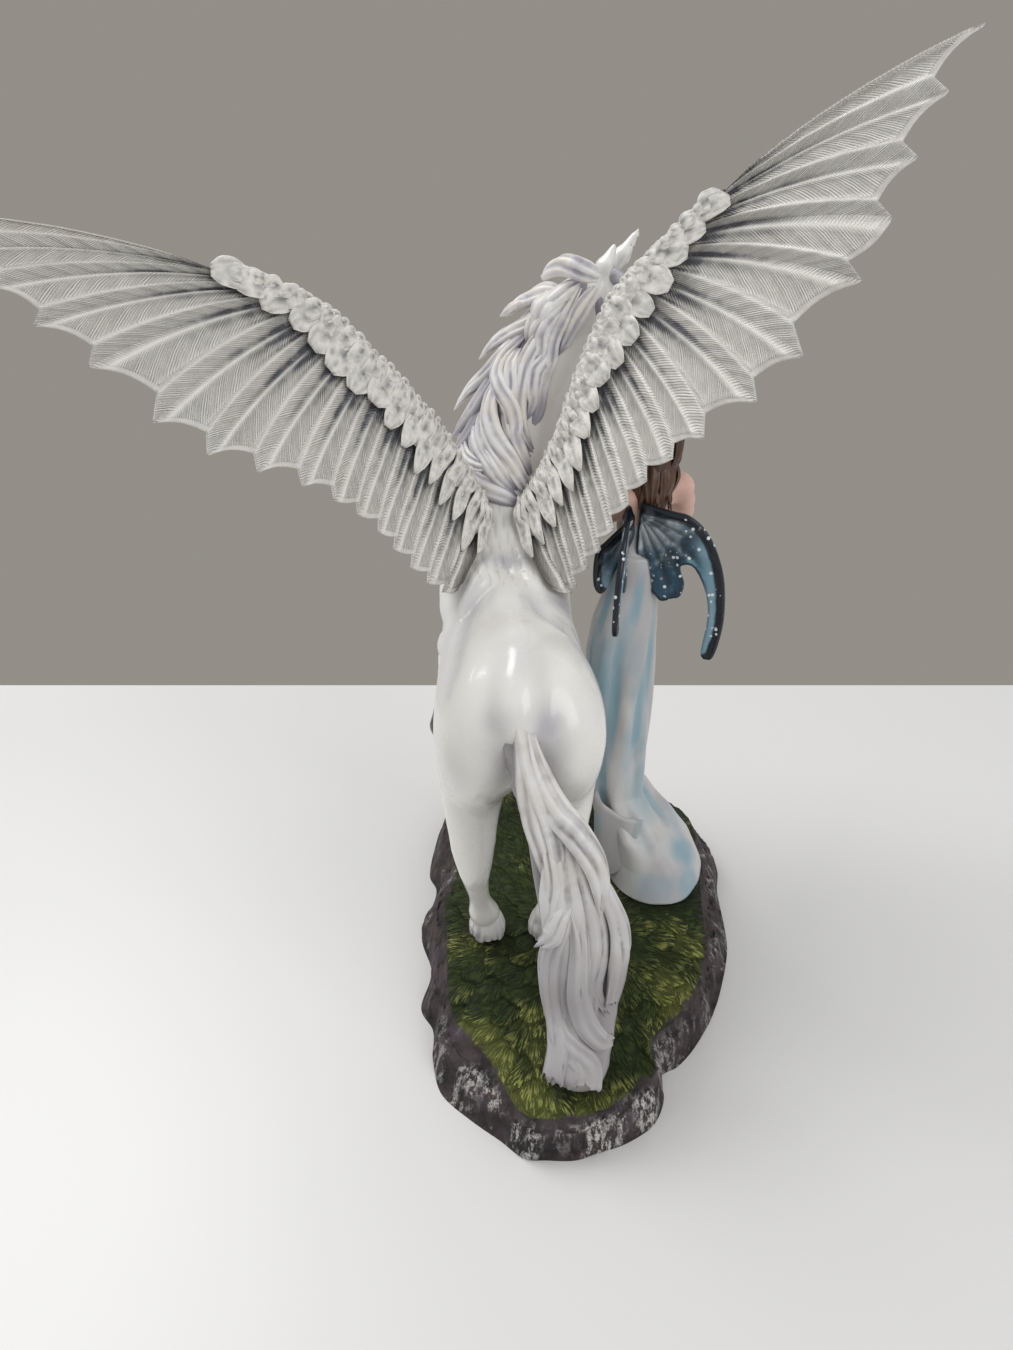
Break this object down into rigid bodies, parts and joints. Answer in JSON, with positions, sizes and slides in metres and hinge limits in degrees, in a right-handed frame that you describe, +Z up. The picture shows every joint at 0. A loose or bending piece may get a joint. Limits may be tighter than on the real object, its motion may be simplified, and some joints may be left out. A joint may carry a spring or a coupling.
{
  "type": "fairy and pegasus figurine",
  "caption": "Painted resin figurine of a white winged horse and a fairy in a pale blue gown standing on a grassy rock base.",
  "frame": {"origin": "on the flat underside of the base, below the middle of the rock plinth", "axes": "+Z up, +Y the way the pegasus walks, +X towards the fairy's side; the big wings spread along X"},
  "size_m": [0.34, 0.2364, 0.353],
  "materials": {
    "base": "cold-cast resin with stone powder, hand-painted grass green over dry-brushed dark rock, satin",
    "pegasus": "cold-cast resin painted glossy warm white with lavender grey shading",
    "pegasus_wing_left": "cold-cast resin painted ivory with grey blue wash in the recesses, satin",
    "pegasus_wing_right": "cold-cast resin painted ivory with grey blue wash in the recesses, satin",
    "fairy": "cold-cast resin painted white and pale blue gown, skin tone and brown hair, satin",
    "fairy_wings_left": "resin painted gloss blue black with pale blue cells and white dots",
    "fairy_wings_right": "resin painted gloss blue black with pale blue cells and white dots"
  },
  "bodies": {
    "root": {"base": "base", "pegasus": "pegasus", "pegasus_wing_left": "pegasus_wing_left", "pegasus_wing_right": "pegasus_wing_right", "fairy": "fairy", "fairy_wings_left": "fairy_wings_left", "fairy_wings_right": "fairy_wings_right"}
  },
  "joints": []
}
